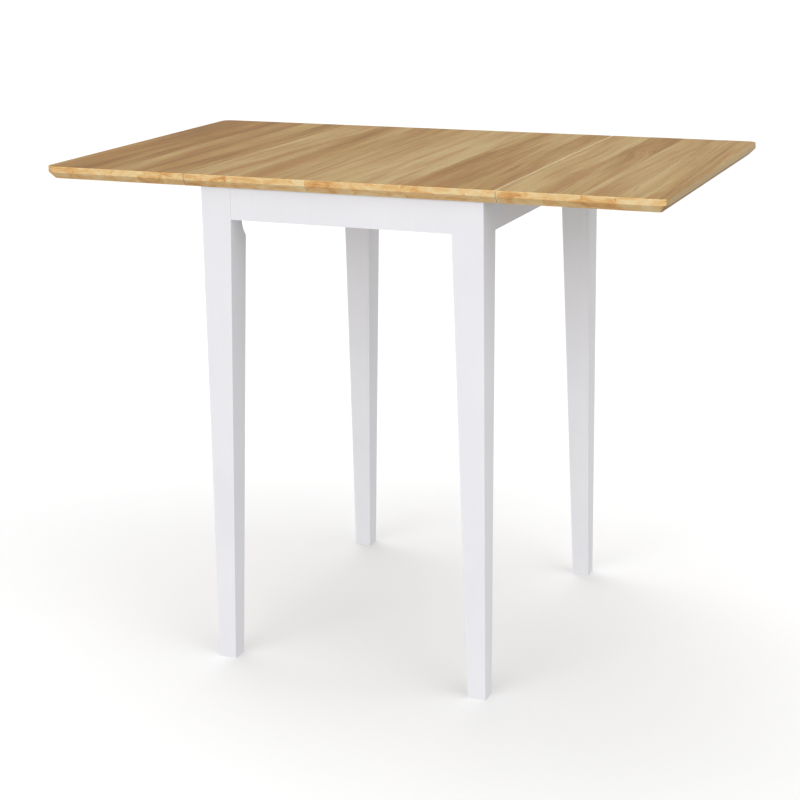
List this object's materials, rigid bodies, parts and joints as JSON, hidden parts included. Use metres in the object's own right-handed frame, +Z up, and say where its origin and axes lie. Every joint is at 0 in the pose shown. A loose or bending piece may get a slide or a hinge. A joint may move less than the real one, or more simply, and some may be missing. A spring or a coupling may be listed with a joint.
{
  "type": "drop leaf table",
  "caption": "Drop leaf table: fixed centre top, hinged leaf at each end, pull-out leaf supports, and a painted apron frame on tapered legs.",
  "frame": {"origin": "on the floor, under the middle of the open table", "axes": "+X along the open top from leaf to leaf, +Y to the back, +Z up"},
  "size_m": [0.946, 0.563, 0.75],
  "materials": {
    "top_wood": "clear satin lacquer on edge-glued light hardwood staves",
    "white_paint": "satin white paint on wood",
    "plain_wood": "sanded bare hardwood",
    "zinc_steel": "bright zinc plate"
  },
  "bodies": {
    "frame": {"bracket_nuts": "zinc_steel", "bracket_screws": "zinc_steel", "bracket_washers": "zinc_steel", "centre_top": "top_wood", "cross_rail": "plain_wood", "cross_rail_dowels": "plain_wood", "frame_hinge_screws": "zinc_steel", "front_apron": "white_paint", "front_left_bracket": "zinc_steel", "front_left_hinge_frame_plate": "zinc_steel", "front_left_hinge_pin": "zinc_steel", "front_left_leg": "white_paint", "front_right_bracket": "zinc_steel", "front_right_hinge_frame_plate": "zinc_steel", "front_right_hinge_pin": "zinc_steel", "front_right_leg": "white_paint", "hanger_bolts": "zinc_steel", "left_apron": "white_paint", "rear_apron": "white_paint", "rear_left_bracket": "zinc_steel", "rear_left_hinge_frame_plate": "zinc_steel", "rear_left_hinge_pin": "zinc_steel", "rear_left_leg": "white_paint", "rear_right_bracket": "zinc_steel", "rear_right_hinge_frame_plate": "zinc_steel", "rear_right_hinge_pin": "zinc_steel", "rear_right_leg": "white_paint", "right_apron": "white_paint", "top_angle_screws": "zinc_steel", "top_angles": "zinc_steel"},
    "right_leaf": {"front_right_hinge_leaf_plate": "zinc_steel", "rear_right_hinge_leaf_plate": "zinc_steel", "right_leaf": "top_wood", "right_leaf_hinge_screws": "zinc_steel"},
    "left_leaf": {"front_left_hinge_leaf_plate": "zinc_steel", "left_leaf": "top_wood", "left_leaf_hinge_screws": "zinc_steel", "rear_left_hinge_leaf_plate": "zinc_steel"},
    "front_right_loper": {"front_right_loper": "plain_wood", "front_right_loper_stop": "plain_wood"},
    "rear_right_loper": {"rear_right_loper": "plain_wood", "rear_right_loper_stop": "plain_wood"},
    "front_left_loper": {"front_left_loper": "plain_wood", "front_left_loper_stop": "plain_wood"},
    "rear_left_loper": {"rear_left_loper": "plain_wood", "rear_left_loper_stop": "plain_wood"}
  },
  "joints": [
    {"name": "right_leaf_hinge", "type": "hinge", "parent": "frame", "child": "right_leaf", "pos_m": [0.238, 0, 0.7275], "axis": [0, -1, 0], "range_deg": [-90, 0]},
    {"name": "left_leaf_hinge", "type": "hinge", "parent": "frame", "child": "left_leaf", "pos_m": [-0.238, 0, 0.7275], "axis": [0, 1, 0], "range_deg": [-90, 0]},
    {"name": "front_right_loper_slide", "type": "slide", "parent": "frame", "child": "front_right_loper", "axis": [1, 0, 0], "range_m": [0, 0.16]},
    {"name": "rear_right_loper_slide", "type": "slide", "parent": "frame", "child": "rear_right_loper", "axis": [1, 0, 0], "range_m": [0, 0.16]},
    {"name": "front_left_loper_slide", "type": "slide", "parent": "frame", "child": "front_left_loper", "axis": [-1, 0, 0], "range_m": [0, 0.16]},
    {"name": "rear_left_loper_slide", "type": "slide", "parent": "frame", "child": "rear_left_loper", "axis": [-1, 0, 0], "range_m": [0, 0.16]}
  ]
}
